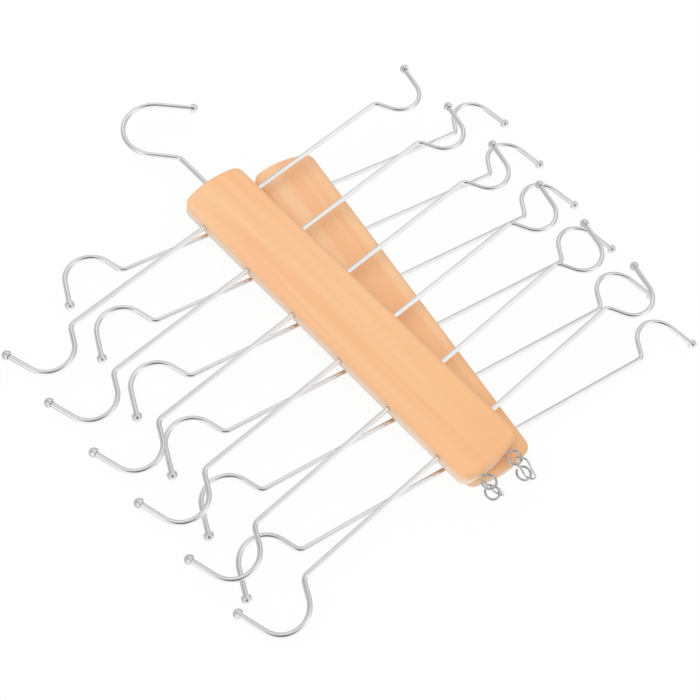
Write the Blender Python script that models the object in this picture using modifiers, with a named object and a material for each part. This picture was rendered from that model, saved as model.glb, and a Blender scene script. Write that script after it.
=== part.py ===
"""Rotating delicates hanger, folded and lying flat.

Two wooden boards carry six through wires each, and every wire ends in two open hooks.
A swivelling top hook sits in one end of the upper board. At the other end two long
links join the screw eyes of the upper board to those of the lower board, which swings
out on them from under the upper board until it hangs below it.

The world frame is the lower board's: its underside lies on z = 0 with the board's
centre at the origin, +Y runs along it away from the links and +X runs across it.
Each board is drawn in its own plane, z = 0 at mid thickness. Metres and radians.
"""

from math import acos, asin, atan2, cos, pi, radians, sin, sqrt, tan

import bmesh
import bpy
from mathutils import Matrix, Vector

# Boards
BOARD_LENGTH = 0.2465
BOARD_WIDTH = 0.044
BOARD_THICKNESS = 0.012
BOARD_END_RADIUS = 0.070
BOARD_CORNER_RADIUS = 0.0065
BOARD_EDGE_ROUND = 0.0035

# Through wires and their hooks
WIRE_DIAMETER = 0.003
WIRE_END_DISTANCE = 0.02325
WIRE_SKEW = {
    "upper": [radians(skew) for skew in (1.4, 0.8, 0.4, -0.3, 0.0, -0.7)],
    "lower": [radians(skew) for skew in (-0.6, -0.7, -0.2, -0.3, -0.5, -0.9)],
}
WIRE_SHIFT = {"upper": Vector((0.0025, 0.0007, 0.0)), "lower": Vector((0.0, -0.0049, 0.0))}
HOOK_CORNER_X = 0.1261
HOOK_CORNER_ROUND = 0.005
HOOK_RAMP_ANGLE = radians(63)
HOOK_RAMP_LENGTH = 0.0112
HOOK_RADIUS = 0.015
HOOK_SWEEP = radians(137)
HOOK_TIP_RUN = 0.0165

# Caps pressed on the wire ends
CAP_DIAMETER = 0.0056
CAP_LENGTH = 0.0044
CAP_RIM_LENGTH = 0.0015
CAP_BORE_DEPTH = 0.0024

# Top hook and its swivel
TOP_HOOK_DIAMETER = 0.003
TOP_HOOK_NECK = 0.0265
TOP_HOOK_NECK_ROUND = 0.006
TOP_HOOK_RADIUS = 0.020
TOP_HOOK_CENTRE = Vector((0.002, 0.0535, 0.0))
TOP_HOOK_EXIT_ANGLE = radians(45)
TOP_HOOK_TIP_RUN = 0.023
SLEEVE_DIAMETER = 0.006
SLEEVE_LENGTH = 0.007
COLLAR_DIAMETER = 0.0056
COLLAR_LENGTH = 0.002

# Screw eyes and links
EYE_WIRE_DIAMETER = 0.0014
EYE_RING_RADIUS = 0.0042
EYE_RING_REACH = {"upper": 0.0048, "lower": 0.0064}
EYE_RING_GAP = 0.0006
EYE_NECK_ROUND = 0.0012
EYE_SHANK_LENGTH = 0.0148
EYE_INSET = {
    "upper": {"left": 0.0112, "right": 0.0112},
    "lower": {"left": 0.0084, "right": 0.0121},
}
LINK_WIRE_DIAMETER = 0.0012
LINK_WIDTH = 0.008
PULL_ANGLE = {"left": 0.0, "right": radians(31.5)}
LINK_TILT = {"left": radians(-14.4), "right": 0.0}
LINK_SWING = {"left": radians(9.1), "right": 0.0}
LINK_ROLL = {"left": radians(23.2), "right": radians(24.5)}
LINK_SHIFT = {"left": Vector((-0.0004, 0.0, 0.0)), "right": Vector((0.0, 0.0, 0.0))}

# How the folded hanger lies
UPPER_OVERHANG = 0.0117
UPPER_ALONG = 0.0022
UPPER_FAN = radians(10.7)
UPPER_LEAN = radians(3.55)
PIVOT_MARK_SIZE = 0.01

# Clearances
HOLE_CLEARANCE = 0.0003
REST_GAP = 0.0003
LINK_GAP = 0.0009

# Facets
WIRE_BEVEL_STEPS = 2
HOOK_STEPS = 10
CORNER_STEPS = 3
TURNED_STEPS = 12
HOLE_SIDES = 14
EDGE_SEGMENTS = 3

# Finishes
WOOD_COLOUR = (0.90, 0.56, 0.31, 1.0)
STEEL_COLOUR = (0.78, 0.78, 0.79, 1.0)
BRASS_COLOUR = (0.80, 0.62, 0.30, 1.0)

HALF_LENGTH = BOARD_LENGTH / 2
HALF_WIDTH = BOARD_WIDTH / 2
HALF_THICKNESS = BOARD_THICKNESS / 2
WIRE_RADIUS = WIRE_DIAMETER / 2
TOP_HOOK_WIRE_RADIUS = TOP_HOOK_DIAMETER / 2
EYE_WIRE_RADIUS = EYE_WIRE_DIAMETER / 2
LINK_WIRE_RADIUS = LINK_WIRE_DIAMETER / 2
SIDES = {"left": -1, "right": 1}
X_AXIS = Vector((1.0, 0.0, 0.0))
Y_AXIS = Vector((0.0, 1.0, 0.0))
Z_AXIS = Vector((0.0, 0.0, 1.0))


def clear_scene():
    for obj in list(bpy.data.objects):
        bpy.data.objects.remove(obj, do_unlink=True)


def new_collection(name):
    collection = bpy.data.collections.new(name)
    bpy.context.scene.collection.children.link(collection)
    return collection


def make_material(name, colour, roughness, metallic):
    material = bpy.data.materials.new(name)
    material.use_nodes = True
    shader = material.node_tree.nodes["Principled BSDF"]
    shader.inputs["Base Color"].default_value = colour
    shader.inputs["Roughness"].default_value = roughness
    shader.inputs["Metallic"].default_value = metallic
    material.diffuse_color = colour
    return material


def wood(name):
    return make_material(name + "_wood", WOOD_COLOUR, 0.45, 0.0)


def steel(name):
    return make_material(name + "_steel", STEEL_COLOUR, 0.18, 1.0)


def brass(name):
    return make_material(name + "_brass", BRASS_COLOUR, 0.3, 1.0)


def place(obj, world, parent=None):
    """Put an object at a world matrix; a parent keeps it there."""
    if parent is not None:
        obj.parent = parent
        obj.matrix_parent_inverse = parent.matrix_world.inverted()
    obj.matrix_basis = world
    bpy.context.view_layer.update()


def pivot(name, world, parent=None):
    """Empty that carries a body, on its joint's axis."""
    empty = bpy.data.objects.new(name, None)
    empty.empty_display_size = PIVOT_MARK_SIZE
    bpy.context.scene.collection.objects.link(empty)
    place(empty, world, parent)
    return empty


# Paths


def heading(angle):
    return Vector((cos(angle), sin(angle), 0.0))


def arc(centre, radius, start, end, steps):
    """Points on a circle in the XY plane, both ends included."""
    return [centre + radius * heading(start + (end - start) * i / steps) for i in range(steps + 1)]


def rounded_corner(before, corner, after, radius):
    """Arc that rounds the corner between two straight runs."""
    inward = (corner - before).normalized()
    outward = (after - corner).normalized()
    turn = inward.angle(outward)
    side = (outward - inward * inward.dot(outward)).normalized()
    centre = corner - inward * radius * tan(turn / 2) + side * radius
    angles = [turn * i / CORNER_STEPS for i in range(CORNER_STEPS + 1)]
    return [centre + radius * (inward * sin(angle) - side * cos(angle)) for angle in angles]


def hook_path():
    """Right half of a through wire, from the board's middle to the tip, opening to +Y."""
    middle = Vector((0.0, 0.0, 0.0))
    corner = Vector((HOOK_CORNER_X, 0.0, 0.0))
    arc_start = corner + HOOK_RAMP_LENGTH * heading(-HOOK_RAMP_ANGLE)
    first = -HOOK_RAMP_ANGLE - pi / 2
    last = first + HOOK_SWEEP
    centre = arc_start - HOOK_RADIUS * heading(first)
    bow = arc(centre, HOOK_RADIUS, first, last, HOOK_STEPS)
    tip = bow[-1] + HOOK_TIP_RUN * heading(last + pi / 2)
    return rounded_corner(middle, corner, arc_start, HOOK_CORNER_ROUND) + bow + [tip]


def through_wire_path(opening):
    """Centreline of a through wire from left tip to right tip; opening is +1 or -1 along Y."""
    right = [Vector((p.x, p.y * opening, 0.0)) for p in hook_path()]
    left = [Vector((-p.x, p.y, 0.0)) for p in reversed(right)]
    return left + right


def top_hook_path():
    """Centreline of the top hook from its inner end to its tip, in the board's plane."""
    board_end = Vector((0.0, HALF_LENGTH, 0.0))
    inner_end = board_end - Vector((0.0, HOLE_CLEARANCE + SLEEVE_LENGTH + COLLAR_LENGTH, 0.0))
    corner = board_end + Vector((0.0, TOP_HOOK_NECK, 0.0))
    centre = board_end + TOP_HOOK_CENTRE
    reach = centre - corner
    lean_out = asin(TOP_HOOK_RADIUS / reach.length)
    slope = atan2(reach.y, reach.x) + lean_out
    entry = slope + pi / 2
    bow = arc(centre, TOP_HOOK_RADIUS, entry, TOP_HOOK_EXIT_ANGLE, 2 * HOOK_STEPS)
    tip = bow[-1] + TOP_HOOK_TIP_RUN * heading(TOP_HOOK_EXIT_ANGLE - pi / 2)
    return [inner_end] + rounded_corner(inner_end, corner, bow[0], TOP_HOOK_NECK_ROUND) + bow + [tip]


def eye_path():
    """Centreline of a screw eye: shank along -Y out of the board, then a nearly closed ring.

    The ring's centre is the origin, and the shank's length is taken from there.
    """
    neck_end = EYE_RING_RADIUS + EYE_NECK_ROUND
    bend_centre = Vector((EYE_NECK_ROUND, neck_end, 0.0))
    bend = arc(bend_centre, EYE_NECK_ROUND, pi, pi * 3 / 2, 2)
    first = acos(EYE_NECK_ROUND / EYE_RING_RADIUS)
    closing = (EYE_WIRE_DIAMETER + EYE_RING_GAP) / EYE_RING_RADIUS
    last = pi / 2 + closing - 2 * pi
    ring = arc(Vector((0.0, 0.0, 0.0)), EYE_RING_RADIUS, first, last, HOOK_STEPS + 2)
    return [Vector((0.0, EYE_SHANK_LENGTH, 0.0))] + bend[:-1] + ring


def link_path(length):
    """Closed centreline of a link that hangs from the origin along -Y.

    Length runs between the eye wires that pull on it.
    """
    wire_step = EYE_WIRE_RADIUS + LINK_WIRE_RADIUS + LINK_GAP
    bow = (LINK_WIDTH - LINK_WIRE_DIAMETER) / 2
    near = Vector((0.0, wire_step - bow, 0.0))
    far = Vector((0.0, bow - wire_step - length, 0.0))
    return arc(near, bow, 0.0, pi, 6) + arc(far, bow, pi, 2 * pi, 6)


# Solids


def wire_object(name, points, radius, closed=False):
    """Round wire through the points."""
    data = bpy.data.curves.new(name, "CURVE")
    data.dimensions = "3D"
    data.bevel_depth = radius
    data.bevel_resolution = WIRE_BEVEL_STEPS
    data.use_fill_caps = not closed
    spline = data.splines.new("POLY")
    spline.points.add(len(points) - 1)
    for point, at in zip(spline.points, points):
        point.co = (at.x, at.y, at.z, 1.0)
    spline.use_cyclic_u = closed
    data.materials.append(steel(name))
    return bpy.data.objects.new(name, data)


def turned_object(name, profile, material):
    """Solid turned about Z from (radius, height) pairs, down the outside and up the bore."""
    mesh = bpy.data.meshes.new(name)
    points = [(radius, 0.0, height) for radius, height in profile]
    mesh.from_pydata(points, [(i, i + 1) for i in range(len(points) - 1)], [])
    mesh.materials.append(material)
    obj = bpy.data.objects.new(name, mesh)
    screw = obj.modifiers.new("Turn", "SCREW")
    screw.steps = TURNED_STEPS
    screw.render_steps = TURNED_STEPS
    screw.use_merge_vertices = True
    screw.merge_threshold = 0.00001
    screw.use_smooth_shade = True
    return obj


def ring_profile(outer_radius, bore_radius, length):
    """Closed profile of a plain sleeve that starts at z = 0 and runs up."""
    return [
        (outer_radius, length),
        (outer_radius, 0.0),
        (bore_radius, 0.0),
        (bore_radius, length),
        (outer_radius, length),
    ]


def cap_profile(wire_radius):
    """Domed cap whose open end is at z = 0, with a blind bore for the wire."""
    radius = CAP_DIAMETER / 2
    bore = wire_radius + HOLE_CLEARANCE
    dome = CAP_LENGTH - CAP_RIM_LENGTH
    steps = 3
    top = [
        (radius * sin(pi / 2 * i / steps), CAP_RIM_LENGTH + dome * cos(pi / 2 * i / steps))
        for i in range(steps + 1)
    ]
    return top + [(radius, 0.0), (bore, 0.0), (bore, CAP_BORE_DEPTH), (0.0, CAP_BORE_DEPTH)]


def end_sagitta(x):
    """How far the arched end of a board falls back at x from its middle."""
    return BOARD_END_RADIUS - sqrt(BOARD_END_RADIUS**2 - x**2)


def board_outline():
    """Outline of a board, counter-clockwise: arched ends and rounded corners."""
    side = HALF_WIDTH - BOARD_CORNER_RADIUS
    arch_centre = Vector((0.0, HALF_LENGTH - BOARD_END_RADIUS, 0.0))
    slope = asin(side / (BOARD_END_RADIUS - BOARD_CORNER_RADIUS))
    corner_centre = arch_centre + (BOARD_END_RADIUS - BOARD_CORNER_RADIUS) * heading(pi / 2 - slope)
    corner = arc(corner_centre, BOARD_CORNER_RADIUS, 0.0, pi / 2 - slope, 4)
    arch = arc(arch_centre, BOARD_END_RADIUS, pi / 2 - slope, pi / 2, 3)
    quarter = corner + arch[1:]
    half = quarter + [Vector((-p.x, p.y, 0.0)) for p in reversed(quarter[:-1])]
    return half + [-p for p in half]


def board_blank(name):
    """Board with rounded edges and no holes yet."""
    data = bpy.data.curves.new(name, "CURVE")
    data.dimensions = "2D"
    data.fill_mode = "BOTH"
    data.extrude = HALF_THICKNESS
    outline = board_outline()
    spline = data.splines.new("POLY")
    spline.points.add(len(outline) - 1)
    for point, at in zip(spline.points, outline):
        point.co = (at.x, at.y, 0.0, 1.0)
    spline.use_cyclic_u = True
    curve = bpy.data.objects.new(name + "_outline", data)
    bpy.context.scene.collection.objects.link(curve)
    board = mesh_from_curve(name, curve)
    board.data.materials.clear()
    board.data.materials.append(wood(name))
    bevel = board.modifiers.new("Rounded edges", "BEVEL")
    bevel.width = BOARD_EDGE_ROUND
    bevel.segments = EDGE_SEGMENTS
    bevel.limit_method = "ANGLE"
    bevel.angle_limit = radians(60)
    return board


def mesh_from_curve(name, curve):
    """Closed mesh object that takes the curve's place."""
    bpy.context.view_layer.update()
    evaluated = curve.evaluated_get(bpy.context.evaluated_depsgraph_get())
    mesh = bpy.data.meshes.new_from_object(evaluated)
    mesh.name = name
    welded = bmesh.new()
    welded.from_mesh(mesh)
    bmesh.ops.remove_doubles(welded, verts=welded.verts, dist=0.00001)
    bmesh.ops.recalc_face_normals(welded, faces=welded.faces)
    welded.to_mesh(mesh)
    welded.free()
    obj = bpy.data.objects.new(name, mesh)
    obj.matrix_world = curve.matrix_world.copy()
    bpy.data.objects.remove(curve, do_unlink=True)
    return obj


def drill(board, name, centre, axis, radius, depth, cutters):
    """Cut a round hole in a board: centre, axis and depth are in the board's plane."""
    mesh = bpy.data.meshes.new(name)
    shape = bmesh.new()
    turn = Z_AXIS.rotation_difference(axis).to_matrix().to_4x4()
    bmesh.ops.create_cone(
        shape,
        cap_ends=True,
        segments=HOLE_SIDES,
        radius1=radius,
        radius2=radius,
        depth=depth,
        matrix=Matrix.Translation(centre) @ turn,
    )
    shape.to_mesh(mesh)
    shape.free()
    cutter = bpy.data.objects.new(name, mesh)
    cutter.hide_render = True
    cutter.display_type = "WIRE"
    cutters.objects.link(cutter)
    place(cutter, board.matrix_world.copy(), board)
    cut = board.modifiers.new(name, "BOOLEAN")
    cut.operation = "DIFFERENCE"
    cut.object = cutter


# Where things sit on a board, in the board's own plane


def wire_rows(tier):
    """Matrix of each through wire, the first nearest the top hook's end."""
    skews = WIRE_SKEW[tier]
    pitch = (BOARD_LENGTH - 2 * WIRE_END_DISTANCE) / (len(skews) - 1)
    first = WIRE_SHIFT[tier] + Y_AXIS * pitch * (len(skews) - 1) / 2
    return [
        Matrix.Translation(first - Y_AXIS * pitch * i) @ Matrix.Rotation(skew, 4, "Z")
        for i, skew in enumerate(skews)
    ]


def eye_ring_centre(tier, side):
    x = SIDES[side] * (HALF_WIDTH - EYE_INSET[tier][side])
    return Vector((x, -HALF_LENGTH - EYE_RING_REACH[tier], 0.0))


def eye_pull_point(tier, side):
    """Middle of the ring's wire where a link pulls, near the end farthest from the board."""
    return eye_ring_centre(tier, side) + EYE_RING_RADIUS * heading(PULL_ANGLE[side] - pi / 2)


def upper_world():
    """The upper board leans over the long edge of the lower one and fans out from it."""
    edge = Vector((BOARD_EDGE_ROUND - HALF_WIDTH, 0.0, BOARD_THICKNESS + REST_GAP))
    on_edge = Vector((-UPPER_OVERHANG, UPPER_ALONG, HALF_THICKNESS))
    lean = Matrix.Rotation(-UPPER_LEAN, 4, "Y")
    fan = Matrix.Rotation(UPPER_FAN, 4, "Z")
    return Matrix.Translation(edge) @ lean @ Matrix.Translation(on_edge) @ fan


def lower_world():
    return Matrix.Translation((0.0, 0.0, HALF_THICKNESS))


def fold_axis():
    """Axis about which half a turn brings the lower board in line with the upper one."""
    across = upper_world().to_3x3() @ X_AXIS
    return (across + X_AXIS).normalized()


def link_ends(side):
    upper_end = upper_world() @ eye_pull_point("upper", side)
    lower_end = lower_world() @ eye_pull_point("lower", side)
    return upper_end, lower_end


def link_length():
    """The right link is pulled straight; both links are alike."""
    upper_end, lower_end = link_ends("right")
    return (lower_end - upper_end).length


def link_world(side):
    """World matrix of a link: origin on the upper eye, -Y towards the lower eye.

    Both are rolled about their length, and the slack left link also lies a little
    tilted, swung and shifted out of the straight line.
    """
    upper_end, lower_end = link_ends(side)
    pull = (lower_end - upper_end).normalized()
    sideways = fold_axis().cross(pull).normalized()
    tilt = Matrix.Rotation(LINK_TILT[side], 3, sideways)
    swing = Matrix.Rotation(LINK_SWING[side], 3, pull.cross(sideways))
    along = -(swing @ tilt @ pull)
    across = fold_axis().cross(along).normalized()
    frame = Matrix((across, along, across.cross(along))).transposed()
    roll = Matrix.Rotation(LINK_ROLL[side], 3, along)
    turn = (roll @ frame).to_4x4()
    return Matrix.Translation(upper_end) @ turn @ Matrix.Translation(LINK_SHIFT[side])


# Assembly


def add_board(tier, world, parent, parts, cutters):
    board = board_blank(tier + "_board")
    parts.objects.link(board)
    place(board, world, parent)
    for number, row in enumerate(wire_rows(tier), 1):
        hole = f"{tier}_wire_hole_{number}"
        run = row.to_3x3() @ X_AXIS
        radius = WIRE_RADIUS + HOLE_CLEARANCE
        drill(board, hole, row.translation, run, radius, 2 * BOARD_WIDTH, cutters)
    pilot_radius = EYE_WIRE_RADIUS + HOLE_CLEARANCE
    inner_end = EYE_SHANK_LENGTH + HOLE_CLEARANCE
    outer_end = EYE_RING_REACH[tier] - 2 * pilot_radius
    for side in SIDES:
        centre = eye_ring_centre(tier, side) + Y_AXIS * (inner_end + outer_end) / 2
        depth = inner_end - outer_end
        drill(board, f"{tier}_pilot_{side}", centre, Y_AXIS, pilot_radius, depth, cutters)
    return board


def add_swivel_bore(board, cutters):
    radius = SLEEVE_DIAMETER / 2 + HOLE_CLEARANCE
    inner = SLEEVE_LENGTH + COLLAR_LENGTH + 3 * HOLE_CLEARANCE
    outer = 2 * radius
    centre = Y_AXIS * (HALF_LENGTH + (outer - inner) / 2)
    drill(board, "swivel_bore", centre, Y_AXIS, radius, inner + outer, cutters)


def add_cap(name, wire_points, wire_radius, world, parent, parts):
    """Cap on the last point of a wire."""
    run = (wire_points[-1] - wire_points[-2]).normalized()
    turn = Z_AXIS.rotation_difference(run).to_matrix().to_4x4()
    open_end = wire_points[-1] - run * (CAP_BORE_DEPTH - HOLE_CLEARANCE)
    cap = turned_object(name, cap_profile(wire_radius), steel(name))
    parts.objects.link(cap)
    place(cap, world @ Matrix.Translation(open_end) @ turn, parent)


def add_tier(tier, world, parent, opening, parts, cutters):
    """Board, through wires, caps and screw eyes of one tier."""
    board = add_board(tier, world, parent, parts, cutters)
    path = through_wire_path(opening)
    for number, row in enumerate(wire_rows(tier), 1):
        wire = wire_object(f"{tier}_wire_{number}", path, WIRE_RADIUS)
        parts.objects.link(wire)
        wire_world = world @ row
        place(wire, wire_world, parent)
        ends = {"left": path[::-1], "right": path}
        for side, points in ends.items():
            name = f"{tier}_cap_{number}_{side}"
            add_cap(name, points, WIRE_RADIUS, wire_world, parent, parts)
    for side in SIDES:
        eye = wire_object(f"{tier}_eye_{side}", eye_path(), EYE_WIRE_RADIUS)
        parts.objects.link(eye)
        place(eye, world @ Matrix.Translation(eye_ring_centre(tier, side)), parent)
    return board


def add_top_hook(world, upper, parts):
    """Top hook with its cap and the collar that the sleeve holds in the bore."""
    points = top_hook_path()
    swivel = pivot("swivel", world @ Matrix.Translation(Y_AXIS * HALF_LENGTH), upper)
    hook = wire_object("top_hook", points, TOP_HOOK_WIRE_RADIUS)
    parts.objects.link(hook)
    place(hook, world, swivel)
    add_cap("top_hook_cap", points, TOP_HOOK_WIRE_RADIUS, world, swivel, parts)
    bore = TOP_HOOK_WIRE_RADIUS + HOLE_CLEARANCE
    stand = Z_AXIS.rotation_difference(Y_AXIS).to_matrix().to_4x4()
    sleeve_y = HALF_LENGTH - end_sagitta(SLEEVE_DIAMETER / 2) - SLEEVE_LENGTH
    collar_y = sleeve_y - HOLE_CLEARANCE - COLLAR_LENGTH
    fittings = (
        ("swivel_sleeve", SLEEVE_DIAMETER, SLEEVE_LENGTH, sleeve_y, upper, brass),
        ("swivel_collar", COLLAR_DIAMETER, COLLAR_LENGTH, collar_y, swivel, steel),
    )
    for name, diameter, length, y, parent, finish in fittings:
        fitting = turned_object(name, ring_profile(diameter / 2, bore, length), finish(name))
        parts.objects.link(fitting)
        place(fitting, world @ Matrix.Translation(Y_AXIS * y) @ stand, parent)


def add_link(side, parent, parts):
    link = wire_object(f"link_{side}", link_path(link_length()), LINK_WIRE_RADIUS, closed=True)
    parts.objects.link(link)
    place(link, link_world(side), parent)
    return link


def main():
    clear_scene()
    parts = new_collection("rotating_delicates_hanger")
    cutters = new_collection("cutters")
    upper = pivot("upper_tier", upper_world())
    board = add_tier("upper", upper_world(), upper, 1, parts, cutters)
    add_swivel_bore(board, cutters)
    add_top_hook(upper_world(), upper, parts)
    for side in SIDES:
        add_link(side, upper, parts)
    fold_end = link_ends("right")[1]
    lower = pivot("lower_fold", Matrix.Translation(fold_end), bpy.data.objects["link_right"])
    add_tier("lower", lower_world(), lower, -1, parts, cutters)
    for obj in parts.objects:
        if obj.type == "MESH":
            obj.data.shade_smooth()
            obj.data.set_sharp_from_angle(angle=radians(40))


if __name__ == "__main__":
    main()
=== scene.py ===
"""Looks of the rotating delicates hanger, folded and lying flat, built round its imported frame.

Every new piece is modelled in its own plane, carried to its board's place in the folded
hanger and given to the body that moves it. Lengths are in metres and angles in radians,
apart from the wires' skews and the defaults given to turn, which are in degrees.
"""

from math import acos, asin, atan2, cos, pi, radians, sin, sqrt, tan

import bpy
from bpy.props import FloatProperty, FloatVectorProperty, IntProperty, PointerProperty
from bpy.types import Operator, Panel, PropertyGroup
from mathutils import Matrix, Vector


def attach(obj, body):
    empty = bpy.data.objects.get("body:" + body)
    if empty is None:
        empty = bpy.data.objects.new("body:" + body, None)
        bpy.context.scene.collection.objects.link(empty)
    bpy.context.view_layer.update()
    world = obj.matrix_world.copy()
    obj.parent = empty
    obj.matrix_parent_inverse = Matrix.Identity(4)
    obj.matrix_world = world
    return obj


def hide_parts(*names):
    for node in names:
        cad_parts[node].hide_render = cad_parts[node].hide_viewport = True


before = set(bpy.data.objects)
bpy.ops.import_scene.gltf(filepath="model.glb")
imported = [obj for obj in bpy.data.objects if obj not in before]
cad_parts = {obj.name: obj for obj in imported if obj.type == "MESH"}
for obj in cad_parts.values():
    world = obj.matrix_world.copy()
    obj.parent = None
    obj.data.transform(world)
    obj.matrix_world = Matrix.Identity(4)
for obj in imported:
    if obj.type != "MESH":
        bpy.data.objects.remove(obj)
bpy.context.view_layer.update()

bl_info = {
    "name": "Rotating delicates hanger",
    "version": (1, 0, 0),
    "blender": (4, 5, 0),
    "location": "View3D > Sidebar > Hanger",
    "description": "Models and finishes a folding two-tier hanger with wire side hooks",
    "category": "Add Mesh",
}

TIERS = ("upper", "lower")
SIDES = {"left": -1, "right": 1}
X_AXIS = Vector((1.0, 0.0, 0.0))
Y_AXIS = Vector((0.0, 1.0, 0.0))
Z_AXIS = Vector((0.0, 0.0, 1.0))

# The way the side hooks open along their board, each wire's skew in degrees, and how far
# a board's wires are shifted on it
OPENING = {"upper": 1, "lower": -1}
WIRE_SKEWS = {
    "upper": (1.4, 0.8, 0.4, -0.3, 0.0, -0.7),
    "lower": (-0.6, -0.7, -0.2, -0.3, -0.5, -0.9),
}
WIRE_SHIFTS = {"upper": Vector((0.0025, 0.0007, 0.0)), "lower": Vector((0.0, -0.0049, 0.0))}

# How far a ring's centre lies beyond its board's end, and in from its long edge
RING_REACH = {"upper": 0.0048, "lower": 0.0064}
EYE_INSETS = {
    "upper": {"left": 0.0112, "right": 0.0112},
    "lower": {"left": 0.0084, "right": 0.0121},
}

# Faces round each round shape, and steps of its edges and bends
ARCH_FACES = 384
CORNER_FACES = 48
DRILL_FACES = 28
FINE_WIRE_FACES = 16
CAP_FACES = 24
CAP_RINGS = 16
UPPER_EDGE_STEPS = 6
LOWER_EDGE_STEPS = 3
BEND_STEP = radians(5.0)
FEWEST_BEND_STEPS = 4

# Share of a cap's straight part that narrows to its mouth
MOUTH_SHARE = 0.15

# Points closer than WELD are one point, faces that turn less than ONE_PLANE are one face,
# and edges that turn less than SMOOTH_TURN are shaded smooth
WELD = 0.00001
ONE_PLANE = radians(0.5)
SMOOTH_TURN = radians(35.0)

# Least rise of a normal that counts as square to the board
NEARLY_SQUARE = 0.9

# Where a board's grain lies in the noise, and how strongly its late wood, its blush, its
# heart wood and the painted light reflected from the floor onto its sides show
WOOD_LOOKS = {
    "upper": {"seed": 3.7, "fineness": 0.11, "warmth": 0.20, "depth": 0.45, "painted_side_light": 0.85},
    "lower": {"seed": 11.3, "fineness": 0.08, "warmth": 0.14, "depth": 0.06, "painted_side_light": 0.12},
}
LATE_WOOD = (0.80, 0.40, 0.19, 1.0)
PORE_BROWN = (0.60, 0.27, 0.12, 1.0)
BLUSH_PINK = (0.96, 0.53, 0.33, 1.0)
# Deep wood colour of a board's right half, also painted as shade at its linked end
HEART_WOOD_AND_SHADE = (0.93, 0.47, 0.20, 1.0)
# Pale tint painted on the boards' sides as light reflected from the floor
PAINTED_SIDE_TINT = (1.0, 0.80, 0.66, 1.0)
PORE_SHARE = 0.16
# Share of painted shade that darkens each board towards its linked end
END_SHADE_SHARE = 0.50

# Share of its colour that a worn spot keeps, range of roughness, and scale of the clouding
PLATINGS = {
    "plated_wire_steel": {"wear": 0.94, "polish": (0.06, 0.13), "grain": 60.0},
    "pressed_cap_steel": {"wear": 0.88, "polish": (0.20, 0.32), "grain": 140.0},
    "zinc_plated_steel": {"wear": 0.80, "polish": (0.05, 0.13), "grain": 160.0},
}
MARKS_TO_GRAIN = 14

# Metal of each fitting that stays as the frame has it, with its base and worn colours
TURNED_METALS = {
    "swivel_sleeve": ("turned_brass", (0.80, 0.60, 0.28, 1.0), (0.66, 0.46, 0.20, 1.0)),
    "swivel_collar": ("collar_steel", (0.68, 0.68, 0.70, 1.0), (0.55, 0.55, 0.57, 1.0)),
}

# A card's direction in the sky, the cosine of the angle from it at which the card starts,
# the one at which it would reach its full shade, and that shade
GREY_CARDS = (
    ((-0.43, 0.45, 0.79), 0.85, 1.04, 0.43),
    ((-0.27, -0.64, 0.72), 0.68, 1.05, 0.04),
    ((0.10, 0.13, 0.99), 0.88, 1.09, 0.38),
    ((-0.46, 0.84, -0.29), 0.12, 0.68, 0.60),
    ((0.98, 0.20, 0.05), 0.45, 0.77, 0.60),
)
WHITE = (1.0, 1.0, 1.0, 1.0)

# How far the floor lies below the boards, so that no faces of theirs meet it
FLOOR_DROP = 0.0003

# Where the camera stands, and which way the right, the bottom and the depth of its view lie
CAMERA_AT = (-0.272501, -0.212399, 0.529718)
CAMERA_RIGHT = Vector((0.821300, -0.545768, 0.166145))
CAMERA_DOWN = Vector((-0.415516, -0.771811, -0.481304))
CAMERA_AHEAD = Vector((0.390913, 0.326259, -0.860664))

# Numbers of a mix node's sockets for colours, which other kinds of socket share names with
MIX_SHARE = 0
MIX_FIRST = 6
MIX_SECOND = 7
MIX_RESULT = 2


def length(name, default, description):
    return FloatProperty(
        name=name, description=description, default=default, min=0.0, unit="LENGTH", precision=5
    )


def turn(name, degrees, description):
    return FloatProperty(
        name=name, description=description, default=radians(degrees), unit="ROTATION"
    )


def colour(name, default, description):
    return FloatVectorProperty(
        name=name,
        description=description,
        default=default,
        size=4,
        min=0.0,
        max=1.0,
        subtype="COLOR_GAMMA",
    )


class HangerBoardSettings(PropertyGroup):
    """Wooden boards and how the upper one lies on the lower one."""

    long: length("Length", 0.2465, "Length of a board")
    wide: length("Width", 0.044, "Width of a board")
    thick: length("Thickness", 0.012, "Thickness of a board")
    end_radius: length("End radius", 0.070, "Radius of the arched ends")
    corner_radius: length("Corner radius", 0.0065, "Radius of the four corners")
    edge_round: length("Edge round", 0.0035, "Round of the upper edges")
    under_round: length("Under round", 0.0010, "Round of the lower edges")
    hole_clearance: length("Hole clearance", 0.0003, "Gap between a wire and its hole")
    rest_gap: length("Rest gap", 0.0003, "Gap between the boards where they lie together")
    overhang: length("Overhang", 0.0117, "How far the upper board's middle lies out to the left")
    along: length("Offset", 0.0022, "How far the upper board lies towards its top hook")
    fan: turn("Fan", 10.7, "Angle between the boards seen from above")
    lean: turn("Lean", 3.55, "How far the upper board leans over the lower one's edge")
    pale_wood: colour("Pale wood", (0.968, 0.600, 0.325, 1.0), "Paler growth of the wood")
    warm_wood: colour("Warm wood", (0.935, 0.500, 0.243, 1.0), "Warmer growth of the wood")


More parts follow.
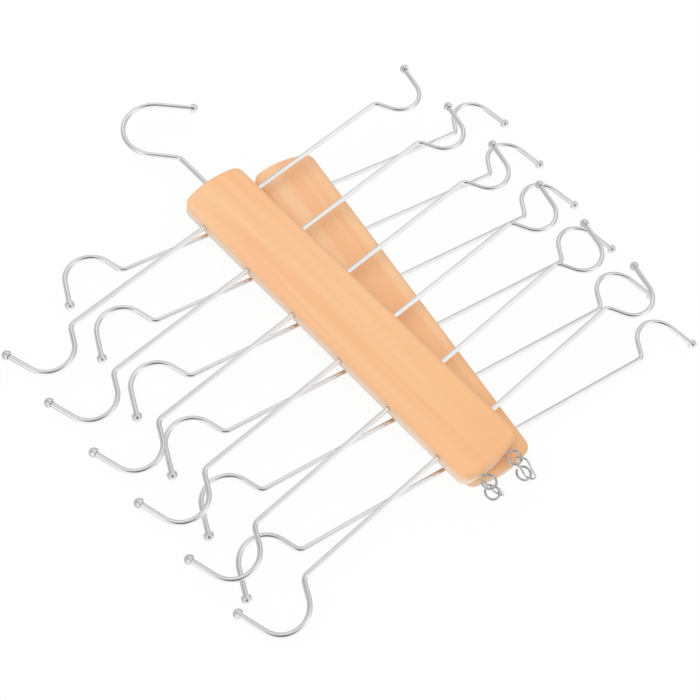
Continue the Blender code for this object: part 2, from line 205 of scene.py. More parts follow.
class HangerWireSettings(PropertyGroup):
    """Through wires, their open hooks and the caps on their ends."""

    thick: length("Wire", 0.003, "Diameter of the wire")
    end_distance: length("End distance", 0.02325, "From a board's end to its first wire")
    corner_x: length("Corner", 0.1261, "From the middle of a wire to the bend before its hook")
    corner_round: length("Corner round", 0.005, "Radius of that bend")
    ramp_angle: turn("Ramp angle", 63.0, "Turn of that bend")
    ramp_length: length("Ramp length", 0.0112, "From that bend's corner to the hook")
    hook_radius: length("Hook radius", 0.015, "Radius of the hook's bow")
    hook_sweep: turn("Hook sweep", 137.0, "Turn of the hook's bow")
    tip_run: length("Tip run", 0.0165, "Straight run at the hook's tip")
    cap_wide: length("Cap diameter", 0.0056, "Diameter of a cap")
    cap_long: length("Cap length", 0.0044, "Length of a cap")
    cap_rim: length("Cap rim", 0.0015, "Straight part of a cap, before its dome")
    cap_bore: length("Cap bore", 0.0024, "Depth of a cap's bore")
    sides: IntProperty(name="Sides", description="Faces round a wire", default=24, min=8)
    steel: colour("Steel", (0.92, 0.92, 0.925, 1.0), "Colour of the plated wire")


class HangerTopHookSettings(PropertyGroup):
    """Top hook that turns in the end of the upper board."""

    thick: length("Wire", 0.003, "Diameter of the wire")
    neck: length("Neck", 0.0265, "From the board's end to the bend of the neck")
    neck_round: length("Neck round", 0.006, "Radius of that bend")
    radius: length("Bow radius", 0.020, "Radius of the hook's bow")
    centre_out: length("Bow offset", 0.002, "How far the bow's centre lies to the right")
    centre_up: length("Bow height", 0.0535, "From the board's end to the bow's centre")
    exit_angle: turn("Exit angle", 45.0, "Where the bow ends")
    tip_run: length("Tip run", 0.023, "Straight run at the hook's tip")
    sleeve_wide: length("Sleeve diameter", 0.006, "Diameter of the sleeve in the bore")
    sleeve_long: length("Sleeve length", 0.007, "Length of the sleeve in the bore")
    collar_long: length("Collar length", 0.002, "Length of the collar behind the sleeve")


class HangerLinkSettings(PropertyGroup):
    """Screw eyes and the links that join the two boards."""

    eye_wire: length("Eye wire", 0.0014, "Diameter of a screw eye's wire")
    ring_radius: length("Ring radius", 0.0042, "Radius of an eye's ring")
    ring_gap: length("Ring gap", 0.0006, "Gap where the ring closes")
    neck_round: length("Neck round", 0.0012, "Bend between the shank and the ring")
    shank: length("Shank", 0.0148, "From a ring's centre to the end of its shank")
    link_wire: length("Link wire", 0.0012, "Diameter of a link's wire")
    link_wide: length("Link width", 0.008, "Width of a link")
    link_gap: length("Link gap", 0.0009, "Gap between a link and an eye")
    pull_angle: turn("Pull angle", 31.5, "How far round its ring the taut link pulls")
    taut_roll: turn("Taut roll", 24.5, "How far the taut link turns about its length")
    slack_roll: turn("Slack roll", 23.2, "How far the slack link turns about its length")
    slack_tilt: turn("Slack tilt", -14.4, "How far the slack link leans over")
    slack_swing: turn("Slack swing", 9.1, "How far the slack link swings aside")
    slack_shift: FloatProperty(
        name="Slack shift",
        description="How far the slack link lies to one side",
        default=-0.0004,
        unit="LENGTH",
        precision=5,
    )
    zinc: colour("Zinc", (0.68, 0.68, 0.69, 1.0), "Colour of the eyes and links")


class HangerStageSettings(PropertyGroup):
    """Floor, lamp, sky and camera."""

    floor_span: length("Floor", 6.0, "Side of the floor")
    lens: FloatProperty(name="Lens", description="Focal length in millimetres", default=52.658)
    key: FloatProperty(name="Key lamp", description="Strength of the sun lamp", default=0.85)
    key_tilt: turn("Key tilt", -15.0, "Turn of the sun lamp about X")
    key_lean: turn("Key lean", -30.0, "Turn of the sun lamp about Y")
    key_spread: turn("Key spread", 70.0, "Width of the sun lamp, which softens its shadows")
    fill: FloatProperty(name="Sky", description="Strength of the sky on the object", default=0.78)
    floor_glow: FloatProperty(
        name="Floor glow",
        description="Share of plain white in the floor as the camera sees it",
        default=0.94,
    )


# Making meshes by hand


def deselect():
    if bpy.context.object and bpy.context.object.mode != "OBJECT":
        bpy.ops.object.mode_set(mode="OBJECT")
    bpy.ops.object.select_all(action="DESELECT")


def only(obj):
    """Select this object alone."""
    deselect()
    obj.select_set(True)
    bpy.context.view_layer.objects.active = obj


def open_mesh(action="SELECT"):
    """Open the selected object for editing, with all of it or nothing in it selected."""
    bpy.ops.object.mode_set(mode="EDIT")
    bpy.ops.mesh.select_mode(type="VERT")
    bpy.ops.mesh.select_all(action=action)


def done(obj, name):
    bpy.ops.object.mode_set(mode="OBJECT")
    bpy.ops.object.transform_apply(location=True, rotation=True, scale=True)
    obj.name = name
    obj.data.name = name
    return obj


def apply_modifier(obj, kind, **settings):
    """Add a modifier, set it and apply it."""
    only(obj)
    modifier = obj.modifiers.new(kind.title(), kind)
    for key, value in settings.items():
        setattr(modifier, key, value)
    bpy.ops.object.modifier_apply(modifier=modifier.name)


def select_faces(obj, test):
    """Select the faces that a test on their centre and normal picks."""
    bpy.ops.mesh.select_mode(type="FACE")
    bpy.ops.object.mode_set(mode="OBJECT")
    for face in obj.data.polygons:
        face.select = bool(test(face.center, face.normal))
    bpy.ops.object.mode_set(mode="EDIT")


def smooth(obj):
    only(obj)
    bpy.ops.object.shade_smooth_by_angle(angle=SMOOTH_TURN)


def finish_piece(piece, world, body, material, nodes):
    """Carry a modelled piece to its place, give it its finish and let its body move it."""
    piece.data.transform(world)
    piece.data.materials.clear()
    piece.data.materials.append(material)
    smooth(piece)
    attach(piece, body)
    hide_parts(*nodes)


def copy_of(model, name):
    """Copy of a model with a mesh of its own."""
    piece = model.copy()
    piece.data = model.data.copy()
    piece.name = name
    piece.data.name = name
    bpy.context.scene.collection.objects.link(piece)
    return piece


def heading(angle):
    """Unit vector in the XY plane."""
    return Vector((cos(angle), sin(angle), 0.0))


def draw_wire(name, radius, start, angle, moves, sides, closed=False):
    """Round wire drawn in the XY plane: runs are extruded and bends are spun.

    A run is its length. A bend is (radius, turn), with a turn to the left positive.
    """
    deselect()
    bpy.ops.mesh.primitive_circle_add(
        vertices=sides, radius=radius, location=start, rotation=(pi / 2, 0.0, angle + pi / 2)
    )
    wire = bpy.context.object
    open_mesh()
    at = Vector(start)
    for move in moves:
        if isinstance(move, float):
            step = heading(angle) * move
            bpy.ops.mesh.extrude_region_move(TRANSFORM_OT_translate={"value": step})
            at = at + step
            continue
        bend_radius, bend = move
        side = 1.0 if bend > 0.0 else -1.0
        centre = at + bend_radius * heading(angle + side * pi / 2)
        steps = max(FEWEST_BEND_STEPS, round(abs(bend) / BEND_STEP))
        bpy.ops.mesh.spin(steps=steps, angle=-bend, center=centre, axis=Z_AXIS)
        angle = angle + bend
        at = centre + bend_radius * heading(angle - side * pi / 2)
    bpy.ops.mesh.select_all(action="SELECT")
    if closed:
        bpy.ops.mesh.remove_doubles(threshold=WELD)
    else:
        bpy.ops.mesh.select_non_manifold()
        bpy.ops.mesh.edge_face_add()
    bpy.ops.mesh.select_all(action="SELECT")
    bpy.ops.mesh.normals_make_consistent(inside=False)
    return done(wire, name)


# Where things lie


def board_world(tier):
    """World matrix of a board: the upper one leans over the lower one's long edge."""
    board = bpy.context.scene.hanger_boards
    if tier == "lower":
        return Matrix.Translation((0.0, 0.0, board.thick / 2))
    edge = Vector((board.edge_round - board.wide / 2, 0.0, board.thick + board.rest_gap))
    on_edge = Vector((-board.overhang, board.along, board.thick / 2))
    lean = Matrix.Rotation(-board.lean, 4, "Y")
    fan = Matrix.Rotation(board.fan, 4, "Z")
    return Matrix.Translation(edge) @ lean @ Matrix.Translation(on_edge) @ fan


def wire_rows(tier):
    """Matrix of each through wire on its board, the first nearest the top hook's end."""
    board = bpy.context.scene.hanger_boards
    wires = bpy.context.scene.hanger_wires
    skews = WIRE_SKEWS[tier]
    pitch = (board.long - 2 * wires.end_distance) / (len(skews) - 1)
    first = WIRE_SHIFTS[tier] + Y_AXIS * pitch * (len(skews) - 1) / 2
    return [
        Matrix.Translation(first - Y_AXIS * pitch * i) @ Matrix.Rotation(radians(skew), 4, "Z")
        for i, skew in enumerate(skews)
    ]


def eye_centre(tier, side):
    board = bpy.context.scene.hanger_boards
    x = SIDES[side] * (board.wide / 2 - EYE_INSETS[tier][side])
    return Vector((x, -board.long / 2 - RING_REACH[tier], 0.0))


def link_ends(side):
    """Where a link pulls on its two rings, the upper one first; the right link is the taut one."""
    links = bpy.context.scene.hanger_links
    pull = heading(links.pull_angle * (side == "right") - pi / 2) * links.ring_radius
    return [board_world(tier) @ (eye_centre(tier, side) + pull) for tier in TIERS]


def link_world(side):
    """Origin on the upper eye and -Y towards the lower one; the left link lies slack."""
    links = bpy.context.scene.hanger_links
    slack = side == "left"
    upper_end, lower_end = link_ends(side)
    pull = (lower_end - upper_end).normalized()
    across_upper = board_world("upper").to_3x3() @ X_AXIS
    fold_axis = (across_upper + X_AXIS).normalized()
    sideways = fold_axis.cross(pull).normalized()
    tilt = Matrix.Rotation(links.slack_tilt * slack, 3, sideways)
    swing = Matrix.Rotation(links.slack_swing * slack, 3, pull.cross(sideways))
    along = -(swing @ tilt @ pull)
    across = fold_axis.cross(along).normalized()
    axes = Matrix((across, along, across.cross(along))).transposed()
    roll = Matrix.Rotation(links.slack_roll if slack else links.taut_roll, 3, along)
    shift = Matrix.Translation((links.slack_shift * slack, 0.0, 0.0))
    return Matrix.Translation(upper_end) @ (roll @ axes).to_4x4() @ shift


# Finishes


def plug(tree, socket, value):
    """Link another node's output to a socket, or give the socket a plain value."""
    if isinstance(value, bpy.types.NodeSocket):
        tree.links.new(value, socket)
    else:
        socket.default_value = value


def add_node(tree, kind, inputs=None, **settings):
    node = tree.nodes.new(kind)
    for key, value in settings.items():
        setattr(node, key, value)
    for key, value in (inputs or {}).items():
        plug(tree, node.inputs[key], value)
    return node


class Nodes:
    """Shorthand for laying out a material's nodes."""

    def __init__(self, name):
        self.material = bpy.data.materials.new(name)
        self.material.use_nodes = True
        self.tree = self.material.node_tree
        self.shader = self.tree.nodes["Principled BSDF"]

    def add(self, kind, inputs=None, **settings):
        return add_node(self.tree, kind, inputs, **settings)

    def shade(self, inputs):
        for key, value in inputs.items():
            plug(self.tree, self.shader.inputs[key], value)

    def mix(self, share, first, second):
        """Blend of two colours."""
        inputs = {MIX_SHARE: share, MIX_FIRST: first, MIX_SECOND: second}
        return self.add("ShaderNodeMix", inputs, data_type="RGBA").outputs[MIX_RESULT]

    def spread(self, value, low, high, to_low=0.0, to_high=1.0):
        """Value carried from one range to another, and kept in it."""
        ranged = {
            "Value": value,
            "From Min": low,
            "From Max": high,
            "To Min": to_low,
            "To Max": to_high,
        }
        return self.add("ShaderNodeMapRange", ranged).outputs["Result"]

    def product(self, first, second):
        inputs = {0: first, 1: second}
        return self.add("ShaderNodeMath", inputs, operation="MULTIPLY").outputs["Value"]


def wood_finish(tier, seed, fineness, warmth, depth, painted_side_light):
    """Clear-lacquered pale wood whose grain runs along its board.

    Its right half deepens by depth, and its linked end darkens by a fixed share of painted
    shade; its sides are paler by painted light reflected from the floor.
    """
    board = bpy.context.scene.hanger_boards
    place = board_world(tier)
    nodes = Nodes(f"{tier}_board_wood")
    where = nodes.add("ShaderNodeTexCoord").outputs["Object"]
    on_board = nodes.add(
        "ShaderNodeMapping",
        {"Vector": where, "Location": place.translation, "Rotation": place.to_euler()},
        vector_type="TEXTURE",
    ).outputs["Vector"]

    def streaks(across, along, detail, warp, shift, low, high):
        shifted = (seed + shift, seed + shift, seed + shift)
        stretched = nodes.add(
            "ShaderNodeMapping",
            {"Vector": on_board, "Location": shifted, "Scale": (across, along, across)},
        ).outputs["Vector"]
        noise = {"Vector": stretched, "Scale": 1.0, "Detail": detail, "Distortion": warp}
        return nodes.spread(nodes.add("ShaderNodeTexNoise", noise).outputs["Fac"], low, high)

    bands = streaks(across=80.0, along=4.0, detail=2.0, warp=0.3, shift=0.0, low=0.38, high=0.62)
    fine = streaks(across=900.0, along=14.0, detail=3.0, warp=0.2, shift=5.0, low=0.35, high=0.65)
    pores = streaks(across=2600.0, along=120.0, detail=1.0, warp=0.0, shift=9.0, low=0.66, high=0.80)
    blush = streaks(across=30.0, along=16.0, detail=1.0, warp=0.0, shift=13.0, low=0.40, high=0.70)
    tone = nodes.mix(bands, tuple(board.pale_wood), tuple(board.warm_wood))
    tone = nodes.mix(nodes.product(fine, fineness), tone, LATE_WOOD)
    tone = nodes.mix(nodes.product(pores, PORE_SHARE), tone, PORE_BROWN)
    tone = nodes.mix(nodes.product(blush, warmth), tone, BLUSH_PINK)
    split = nodes.add("ShaderNodeSeparateXYZ", {"Vector": on_board}).outputs
    right_half = nodes.spread(split["X"], low=-0.2 * board.wide, high=0.5 * board.wide)
    tone = nodes.mix(nodes.product(right_half, depth), tone, HEART_WOOD_AND_SHADE)
    # Painted shade: darker towards the board's linked end
    painted_end_shade = nodes.spread(split["Y"], low=0.0, high=-0.5 * board.long)
    tone = nodes.mix(nodes.product(painted_end_shade, END_SHADE_SHARE), tone, HEART_WOOD_AND_SHADE)
    top = board.thick / 2
    # Painted light: the side faces paler, as if lit by the white floor
    below_top = nodes.spread(split["Z"], low=top - 0.4 * board.edge_round, high=-0.3 * top)
    above_round = nodes.spread(split["Z"], low=-top, high=board.under_round - top)
    side_face = nodes.product(below_top, above_round)
    tone = nodes.mix(nodes.product(side_face, painted_side_light), tone, PAINTED_SIDE_TINT)
    grain = nodes.add("ShaderNodeBump", {"Strength": 0.12, "Distance": 0.0002, "Height": fine})
    nodes.shade(
        {
            "Base Color": tone,
            "Roughness": nodes.spread(fine, low=0.0, high=1.0, to_low=0.36, to_high=0.46),
            "Normal": grain.outputs["Normal"],
            "Coat Weight": 0.35,
            "Coat Roughness": 0.18,
        }
    )
    return nodes.material


def metal_finish(name, base, worn, polish, grain):
    """Metal with faint clouding and handling marks; polish is the range of its roughness."""
    smoothest, roughest = polish
    nodes = Nodes(name)
    where = nodes.add("ShaderNodeTexCoord").outputs["Object"]
    cloud = nodes.add("ShaderNodeTexNoise", {"Vector": where, "Scale": grain, "Detail": 3.0})
    fine = grain * MARKS_TO_GRAIN
    marks = nodes.add("ShaderNodeTexNoise", {"Vector": where, "Scale": fine, "Detail": 2.0})
    clouded = nodes.spread(cloud.outputs["Fac"], low=0.35, high=0.68)
    marked = nodes.spread(marks.outputs["Fac"], low=0.40, high=0.70)
    relief = nodes.add("ShaderNodeBump", {"Strength": 0.05, "Distance": 0.0001, "Height": marked})
    nodes.shade(
        {
            "Base Color": nodes.mix(clouded, base, worn),
            "Metallic": 1.0,
            "Roughness": nodes.spread(
                marked, low=0.0, high=1.0, to_low=smoothest, to_high=roughest
            ),
            "Normal": relief.outputs["Normal"],
        }
    )
    return nodes.material


def plated_finish(name, tint):
    """Plated metal of a tint, of which its worn spots keep only a share."""
    plating = PLATINGS[name]
    base = tuple(tint)
    worn = (*(level * plating["wear"] for level in base[:3]), 1.0)
    return metal_finish(name, base, worn, plating["polish"], plating["grain"])


def floor_finish(glow):
    """White floor that keeps a faint shadow of the object and lets mirrored rays see the sky."""
    nodes = Nodes("white_floor")
    nodes.shade({"Base Color": (0.96, 0.96, 0.96, 1.0), "Roughness": 0.9})
    white = nodes.add("ShaderNodeEmission", {"Color": WHITE, "Strength": 1.0})
    clear = nodes.add("ShaderNodeBsdfTransparent")
    rays = nodes.add("ShaderNodeLightPath").outputs
    mirrored = nodes.add(
        "ShaderNodeMath",
        {0: rays["Is Glossy Ray"], 1: rays["Is Transmission Ray"]},
        operation="MAXIMUM",
    )
    seen = nodes.add(
        "ShaderNodeMixShader",
        {
            0: nodes.product(rays["Is Camera Ray"], glow),
            1: nodes.shader.outputs[0],
            2: white.outputs[0],
        },
    )
    passing = nodes.add(
        "ShaderNodeMixShader",
        {0: mirrored.outputs["Value"], 1: seen.outputs[0], 2: clear.outputs[0]},
    )
    out = nodes.tree.nodes["Material Output"]
    nodes.tree.links.new(passing.outputs[0], out.inputs["Surface"])
    return nodes.material


def white_sky(fill):
    """Plain white sky all round, in which metal also mirrors the grey cards."""
    world = bpy.data.worlds.new("plain_sky")
    world.use_nodes = True
    tree = world.node_tree
    tree.nodes.clear()
    way = add_node(tree, "ShaderNodeTexCoord").outputs["Generated"]
    level = 1.0
    for towards, rim, full, shade in GREY_CARDS:
        near = add_node(
            tree, "ShaderNodeVectorMath", {0: way, 1: towards}, operation="DOT_PRODUCT"
        )
        card = add_node(
            tree,
            "ShaderNodeMapRange",
            {
                "Value": near.outputs["Value"],
                "From Min": rim,
                "From Max": full,
                "To Min": 1.0,
                "To Max": shade,
            },
            interpolation_type="SMOOTHSTEP",
        )
        both = {0: level, 1: card.outputs["Result"]}
        level = add_node(tree, "ShaderNodeMath", both, operation="MULTIPLY").outputs["Value"]
    rays = add_node(tree, "ShaderNodeLightPath").outputs

    def sky(strength):
        inputs = {"Color": WHITE, "Strength": strength}
        return add_node(tree, "ShaderNodeBackground", inputs).outputs[0]

    def either(ray, other_rays, these_rays):
        inputs = {0: rays[ray], 1: other_rays, 2: these_rays}
        return add_node(tree, "ShaderNodeMixShader", inputs).outputs[0]

    seen = either("Is Camera Ray", either("Is Glossy Ray", sky(fill), sky(level)), sky(1.0))
    add_node(tree, "ShaderNodeOutputWorld", {"Surface": seen})
    bpy.context.scene.world = world


# Models


def model_board(name):
    """Board in its own plane: arched ends, rounded corners and rounded long edges."""
    board = bpy.context.scene.hanger_boards
    side = board.wide / 2 - board.corner_radius
    reach = board.end_radius - board.corner_radius
    slope = asin(side / reach)
    arch_y = board.long / 2 - board.end_radius
    corner_y = arch_y + reach * cos(slope)
    deselect()
    bpy.ops.mesh.primitive_cylinder_add(
        vertices=ARCH_FACES,
        radius=board.end_radius,
        depth=board.thick,
        location=(0.0, arch_y, 0.0),
    )
    blank = bpy.context.object
    arch_side = board.end_radius * sin(slope)
    bpy.ops.object.transform_apply(location=True, rotation=True, scale=True)
    open_mesh()
    for cut, normal in (
        ((arch_side, 0.0, 0.0), (1.0, 0.0, 0.0)),
        ((-arch_side, 0.0, 0.0), (-1.0, 0.0, 0.0)),
        ((0.0, corner_y, 0.0), (0.0, -1.0, 0.0)),
    ):
        bpy.ops.mesh.select_all(action="SELECT")
        bpy.ops.mesh.bisect(plane_co=cut, plane_no=normal, clear_outer=True)
    for x in (-side, side):
        bpy.ops.mesh.primitive_cylinder_add(
            vertices=CORNER_FACES,
            radius=board.corner_radius,
            depth=board.thick,
            location=(x, corner_y, 0.0),
        )
    bpy.ops.mesh.select_all(action="SELECT")
    bpy.ops.mesh.duplicate()
    bpy.ops.transform.rotate(value=pi, orient_axis="Z", center_override=(0.0, 0.0, 0.0))
    bpy.ops.mesh.select_all(action="SELECT")
    bpy.ops.mesh.convex_hull()
    bpy.ops.mesh.select_all(action="SELECT")
    bpy.ops.mesh.dissolve_limited(angle_limit=ONE_PLANE)
    for up, round_radius, steps in (
        (1, board.edge_round, UPPER_EDGE_STEPS),
        (-1, board.under_round, LOWER_EDGE_STEPS),
    ):
        select_faces(blank, lambda centre, normal: normal.z * up > NEARLY_SQUARE)
        bpy.ops.mesh.region_to_loop()
        bpy.ops.mesh.bevel(offset=round_radius, segments=steps, profile=0.5, affect="EDGES")
    return done(blank, name)


def drill_board(board_piece, tier):
    """Holes for the through wires and the screw eyes, and the swivel's bore."""
    board = bpy.context.scene.hanger_boards
    wires = bpy.context.scene.hanger_wires
    links = bpy.context.scene.hanger_links
    hook = bpy.context.scene.hanger_top_hook
    deselect()
    bits = []

    def bit(centre, turned, radius, depth):
        bpy.ops.mesh.primitive_cylinder_add(
            vertices=DRILL_FACES, radius=radius, depth=depth, location=centre, rotation=turned
        )
        bits.append(bpy.context.object)

    hole = wires.thick / 2 + board.hole_clearance
    for row in wire_rows(tier):
        across_board = (0.0, pi / 2, row.to_euler().z)
        bit(row.translation, across_board, hole, board.wide * 2)
    along_board = (pi / 2, 0.0, 0.0)
    pilot = links.eye_wire / 2 + board.hole_clearance
    inner = links.shank + board.hole_clearance
    outer = RING_REACH[tier] - 2 * pilot
    for side in SIDES:
        centre = eye_centre(tier, side) + Y_AXIS * (inner + outer) / 2
        bit(centre, along_board, pilot, inner - outer)
    if tier == "upper":
        bore = hook.sleeve_wide / 2 + board.hole_clearance
        bore_deep = hook.sleeve_long + hook.collar_long + 3 * board.hole_clearance
        centre = Y_AXIS * (board.long / 2 + bore - bore_deep / 2)
        bit(centre, along_board, bore, bore_deep + 2 * bore)
    for tool in bits:
        apply_modifier(board_piece, "BOOLEAN", operation="DIFFERENCE", object=tool, solver="EXACT")
        bpy.data.objects.remove(tool, do_unlink=True)


def hook_moves():
    """Right half of a through wire, from the board's middle to the tip."""
    wires = bpy.context.scene.hanger_wires
    tangent = wires.corner_round * tan(wires.ramp_angle / 2)
    return [
        wires.corner_x - tangent,
        (wires.corner_round, -wires.ramp_angle),
        wires.ramp_length - tangent,
        (wires.hook_radius, wires.hook_sweep),
        wires.tip_run,
    ]


def model_side_wire(name):
    """Through wire in its own plane, opening to +Y: one half drawn, the other mirrored."""
    wires = bpy.context.scene.hanger_wires
    wire = draw_wire(name, wires.thick / 2, (0.0, 0.0, 0.0), 0.0, hook_moves(), wires.sides)
    only(wire)
    open_mesh("DESELECT")
    select_faces(wire, lambda centre, normal: abs(centre.x) < WELD)
    bpy.ops.mesh.delete(type="FACE")
    bpy.ops.object.mode_set(mode="OBJECT")
    apply_modifier(
        wire, "MIRROR", use_axis=(True, False, False), use_clip=True, merge_threshold=WELD
    )
    return wire


def hook_tips():
    """Matrix of each end of a through wire, +Z out along the wire, from the wire's plane."""
    wires = bpy.context.scene.hanger_wires
    corner = Vector((wires.corner_x, 0.0, 0.0))
    arc_start = corner + wires.ramp_length * heading(-wires.ramp_angle)
    first = -wires.ramp_angle - pi / 2
    last = first + wires.hook_sweep
    run = heading(last + pi / 2)
    centre = arc_start - wires.hook_radius * heading(first)
    tip = centre + wires.hook_radius * heading(last) + wires.tip_run * run
    tips = {}
    for side, sign in SIDES.items():
        at = Vector((sign * tip.x, tip.y, 0.0))
        out = Vector((sign * run.x, run.y, 0.0))
        tips[side] = Matrix.Translation(at) @ Z_AXIS.rotation_difference(out).to_matrix().to_4x4()
    return tips


def model_cap(name):
    """Domed cap, open end down at z = 0, with a blind bore for the wire."""
    wires = bpy.context.scene.hanger_wires
    board = bpy.context.scene.hanger_boards
    radius = wires.cap_wide / 2
    bore = wires.thick / 2 + board.hole_clearance
    deselect()
    bpy.ops.mesh.primitive_uv_sphere_add(
        segments=CAP_FACES,
        ring_count=CAP_RINGS,
        radius=radius,
        location=(0.0, 0.0, wires.cap_rim),
        scale=(1.0, 1.0, (wires.cap_long - wires.cap_rim) / radius),
    )
    cap = bpy.context.object
    bpy.ops.object.transform_apply(location=True, rotation=True, scale=True)
    open_mesh()
    bpy.ops.mesh.bisect(
        plane_co=(0.0, 0.0, wires.cap_rim), plane_no=(0.0, 0.0, -1.0), clear_outer=True
    )
    bpy.ops.mesh.select_all(action="SELECT")
    bpy.ops.mesh.select_non_manifold()
    mouth = wires.cap_rim * MOUTH_SHARE
    for drop in (wires.cap_rim - mouth, mouth):
        bpy.ops.mesh.extrude_region_move(TRANSFORM_OT_translate={"value": (0.0, 0.0, -drop)})
    narrowed = 1.0 - mouth / radius
    bpy.ops.transform.resize(value=(narrowed, narrowed, 1.0), center_override=(0.0, 0.0, 0.0))
    bpy.ops.mesh.extrude_region_move(TRANSFORM_OT_translate={"value": (0.0, 0.0, 0.0)})
    inward = bore / (radius * narrowed)
    bpy.ops.transform.resize(value=(inward, inward, 1.0), center_override=(0.0, 0.0, 0.0))
    bpy.ops.mesh.extrude_region_move(
        TRANSFORM_OT_translate={"value": (0.0, 0.0, wires.cap_bore)}
    )
    bpy.ops.mesh.edge_face_add()
    bpy.ops.mesh.select_all(action="SELECT")
    bpy.ops.mesh.normals_make_consistent(inside=False)
    return done(cap, name)


def model_screw_eye(name):
    """Screw eye in its board's plane, its ring's centre at the origin."""
    links = bpy.context.scene.hanger_links
    neck_y = sqrt(links.ring_radius**2 + 2 * links.ring_radius * links.neck_round)
    start = (0.0, links.shank, 0.0)
    first = acos(links.neck_round / (links.ring_radius + links.neck_round))
    closing = (links.eye_wire + links.ring_gap) / links.ring_radius
    sweep = 2 * pi - closing - pi / 2 + first
    moves = [
        links.shank - neck_y,
        (links.neck_round, first),
        (links.ring_radius, -sweep),
    ]
    return draw_wire(name, links.eye_wire / 2, start, -pi / 2, moves, FINE_WIRE_FACES)


def model_link(name):
    """Link that hangs from the origin along -Y, a closed oval of wire."""
    links = bpy.context.scene.hanger_links
    upper_end, lower_end = link_ends("right")
    span = (lower_end - upper_end).length
    wire_step = links.eye_wire / 2 + links.link_wire / 2 + links.link_gap
    bow = (links.link_wide - links.link_wire) / 2
    near = wire_step - bow
    far = bow - wire_step - span
    moves = [(near - far) / 2, (bow, pi), near - far, (bow, pi), (near - far) / 2]
    start = (bow, (near + far) / 2, 0.0)
    radius = links.link_wire / 2
    return draw_wire(name, radius, start, pi / 2, moves, FINE_WIRE_FACES, closed=True)


def top_hook_moves():
    """Start point and moves of the top hook, and its tip with the way it points."""
    board = bpy.context.scene.hanger_boards
    hook = bpy.context.scene.hanger_top_hook
    board_end = Vector((0.0, board.long / 2, 0.0))
    start = board_end - Y_AXIS * (board.hole_clearance + hook.sleeve_long + hook.collar_long)
    corner = board_end + Y_AXIS * hook.neck
    centre = board_end + Vector((hook.centre_out, hook.centre_up, 0.0))
    reach = centre - corner
    slope = atan2(reach.y, reach.x) + asin(hook.radius / reach.length)
    straight = sqrt(reach.length**2 - hook.radius**2)
    bend = slope - pi / 2
    tangent = hook.neck_round * tan(bend / 2)
    sweep = slope + pi / 2 - hook.exit_angle
    moves = [
        (corner - start).length - tangent,
        (hook.neck_round, bend),
        straight - tangent,
        (hook.radius, -sweep),
        hook.tip_run,
    ]
    run = heading(hook.exit_angle - pi / 2)
    tip = centre + hook.radius * heading(hook.exit_angle) + hook.tip_run * run
    tip_turn = Z_AXIS.rotation_difference(run).to_matrix().to_4x4()
    return start, moves, Matrix.Translation(tip) @ tip_turn


# Operators


class HANGER_OT_boards(Operator):
    """Model the two wooden boards"""

    bl_idname = "hanger.boards"
    bl_label = "Boards"

    def execute(self, context):
        model = model_board("board_model")
        for tier in TIERS:
            board = copy_of(model, f"{tier}_board_wooden")
            drill_board(board, tier)
            finish = wood_finish(tier, **WOOD_LOOKS[tier])
            node = f"{tier}_board"
            finish_piece(board, board_world(tier), f"{tier}_tier", finish, [node])
        bpy.data.objects.remove(model, do_unlink=True)
        return {"FINISHED"}


class HANGER_OT_side_wires(Operator):
    """Model the through wires with their open hooks"""

    bl_idname = "hanger.side_wires"
    bl_label = "Side wires"

    def execute(self, context):
        model = model_side_wire("side_wire_model")
        finish = plated_finish("plated_wire_steel", context.scene.hanger_wires.steel)
        for tier in TIERS:
            opening = Matrix.Diagonal((1.0, OPENING[tier], 1.0, 1.0))
            for number, row in enumerate(wire_rows(tier), 1):
                wire = copy_of(model, f"{tier}_side_wire_{number}")
                world = board_world(tier) @ row @ opening
                node = f"{tier}_wire_{number}"
                finish_piece(wire, world, f"{tier}_tier", finish, [node])
                if OPENING[tier] < 0:
                    only(wire)
                    open_mesh()
                    bpy.ops.mesh.flip_normals()
                    bpy.ops.object.mode_set(mode="OBJECT")
        bpy.data.objects.remove(model, do_unlink=True)
        return {"FINISHED"}


class HANGER_OT_caps(Operator):
    """Model the caps on the wire ends"""

    bl_idname = "hanger.caps"
    bl_label = "Wire caps"

    def execute(self, context):
        board = context.scene.hanger_boards
        wires = context.scene.hanger_wires
        model = model_cap("cap_model")
        finish = plated_finish("pressed_cap_steel", wires.steel)
        seat = Matrix.Translation(Z_AXIS * (board.hole_clearance - wires.cap_bore))
        tips = hook_tips()
        for tier in TIERS:
            for number, row in enumerate(wire_rows(tier), 1):
                for side, tip in tips.items():
                    if OPENING[tier] < 0:
                        tip = Matrix.Rotation(pi, 4, "X") @ tip
                    cap = copy_of(model, f"{tier}_domed_cap_{number}_{side}")
                    world = board_world(tier) @ row @ tip @ seat
                    node = f"{tier}_cap_{number}_{side}"
                    finish_piece(cap, world, f"{tier}_tier", finish, [node])
        cap = copy_of(model, "top_hook_domed_cap")
        _, _, tip = top_hook_moves()
        world = board_world("upper") @ tip @ seat
        finish_piece(cap, world, "swivel_hook", finish, ["top_hook_cap"])
        bpy.data.objects.remove(model, do_unlink=True)
        return {"FINISHED"}


class HANGER_OT_top_hook(Operator):
    """Model the swivelling top hook and finish its fittings"""

    bl_idname = "hanger.top_hook"
    bl_label = "Top hook"

    def execute(self, context):
        hook = context.scene.hanger_top_hook
        sides = context.scene.hanger_wires.sides
        start, moves, _ = top_hook_moves()
        wire = draw_wire("top_hook_wire", hook.thick / 2, start, pi / 2, moves, sides)
        finish = bpy.data.materials["plated_wire_steel"]
        finish_piece(wire, board_world("upper"), "swivel_hook", finish, ["top_hook"])
        for node, (metal, base, worn) in TURNED_METALS.items():
            turned = metal_finish(metal, base, worn, polish=(0.20, 0.34), grain=200.0)
            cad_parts[node].data.materials.clear()
            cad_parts[node].data.materials.append(turned)
        return {"FINISHED"}


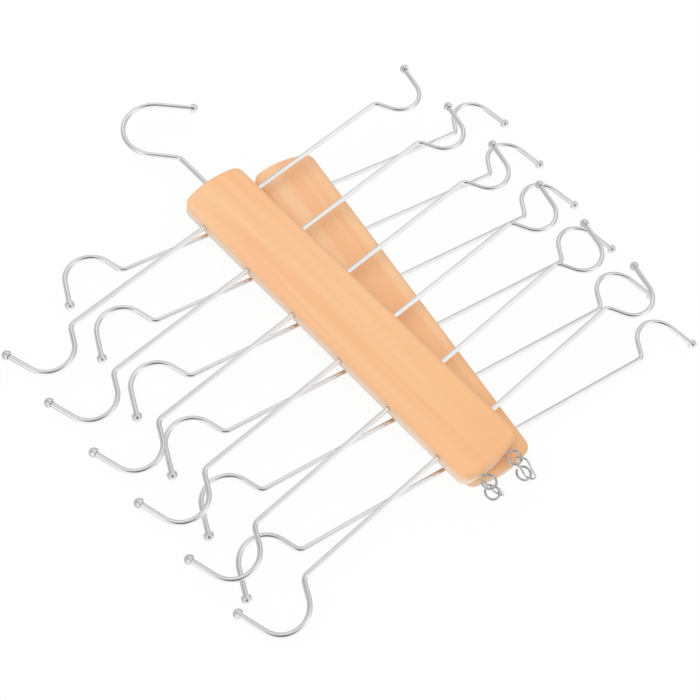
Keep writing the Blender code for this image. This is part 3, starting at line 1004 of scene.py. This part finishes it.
class HANGER_OT_links(Operator):
    """Model the screw eyes and the links between the boards"""

    bl_idname = "hanger.links"
    bl_label = "Screw eyes and links"

    def execute(self, context):
        finish = plated_finish("zinc_plated_steel", context.scene.hanger_links.zinc)
        eye_model = model_screw_eye("screw_eye_model")
        link_model = model_link("link_model")
        for side in SIDES:
            for tier in TIERS:
                eye = copy_of(eye_model, f"{tier}_screw_eye_{side}")
                world = board_world(tier) @ Matrix.Translation(eye_centre(tier, side))
                node = f"{tier}_eye_{side}"
                finish_piece(eye, world, f"{tier}_tier", finish, [node])
            link = copy_of(link_model, f"wire_link_{side}")
            body = f"link_{side}_body"
            finish_piece(link, link_world(side), body, finish, [f"link_{side}"])
        bpy.data.objects.remove(eye_model, do_unlink=True)
        bpy.data.objects.remove(link_model, do_unlink=True)
        return {"FINISHED"}


class HANGER_OT_stage(Operator):
    """Set up the pale floor, the soft light and the camera"""

    bl_idname = "hanger.stage"
    bl_label = "Stage"

    def execute(self, context):
        stage = context.scene.hanger_stage
        deselect()
        bpy.ops.mesh.primitive_plane_add(
            size=stage.floor_span, location=(0.0, 0.0, -FLOOR_DROP)
        )
        floor = bpy.context.object
        floor.name = "pale_floor"
        floor.data.materials.append(floor_finish(stage.floor_glow))
        white_sky(stage.fill)
        bpy.ops.object.light_add(type="SUN", rotation=(stage.key_tilt, stage.key_lean, 0.0))
        key = bpy.context.object
        key.name = "key_lamp"
        key.data.energy = stage.key
        key.data.angle = stage.key_spread
        key.visible_glossy = False
        bpy.ops.object.camera_add()
        camera = bpy.context.object
        camera.name = "photo_camera"
        camera.data.sensor_width = 36.0
        camera.data.lens = stage.lens
        axes = Matrix((CAMERA_RIGHT, -CAMERA_DOWN, -CAMERA_AHEAD)).transposed()
        camera.matrix_world = Matrix.Translation(CAMERA_AT) @ axes.to_4x4()
        camera.data.clip_start = 0.01
        camera.data.clip_end = 50.0
        context.scene.camera = camera
        context.scene.view_settings.view_transform = "Standard"
        return {"FINISHED"}


class HANGER_PT_sidebar(Panel):
    """Steps and sizes of the hanger"""

    bl_idname = "HANGER_PT_sidebar"
    bl_label = "Hanger"
    bl_space_type = "VIEW_3D"
    bl_region_type = "UI"
    bl_category = "Hanger"

    def draw(self, context):
        for step in STEPS:
            self.layout.operator(step.bl_idname)
        for attribute in SETTINGS:
            box = self.layout.box()
            settings = getattr(context.scene, attribute)
            for name in settings.__annotations__:
                box.prop(settings, name)


STEPS = (
    HANGER_OT_stage,
    HANGER_OT_boards,
    HANGER_OT_side_wires,
    HANGER_OT_caps,
    HANGER_OT_top_hook,
    HANGER_OT_links,
)
SETTINGS = {
    "hanger_boards": HangerBoardSettings,
    "hanger_wires": HangerWireSettings,
    "hanger_top_hook": HangerTopHookSettings,
    "hanger_links": HangerLinkSettings,
    "hanger_stage": HangerStageSettings,
}


def register():
    for item in (*SETTINGS.values(), *STEPS, HANGER_PT_sidebar):
        bpy.utils.register_class(item)
    for attribute, settings in SETTINGS.items():
        setattr(bpy.types.Scene, attribute, PointerProperty(type=settings))


def unregister():
    for attribute in SETTINGS:
        delattr(bpy.types.Scene, attribute)
    for item in reversed((*SETTINGS.values(), *STEPS, HANGER_PT_sidebar)):
        bpy.utils.unregister_class(item)


def main():
    register()
    bpy.ops.hanger.stage()
    bpy.ops.hanger.boards()
    bpy.ops.hanger.side_wires()
    bpy.ops.hanger.caps()
    bpy.ops.hanger.top_hook()
    bpy.ops.hanger.links()
    deselect()


if __name__ == "__main__":
    main()
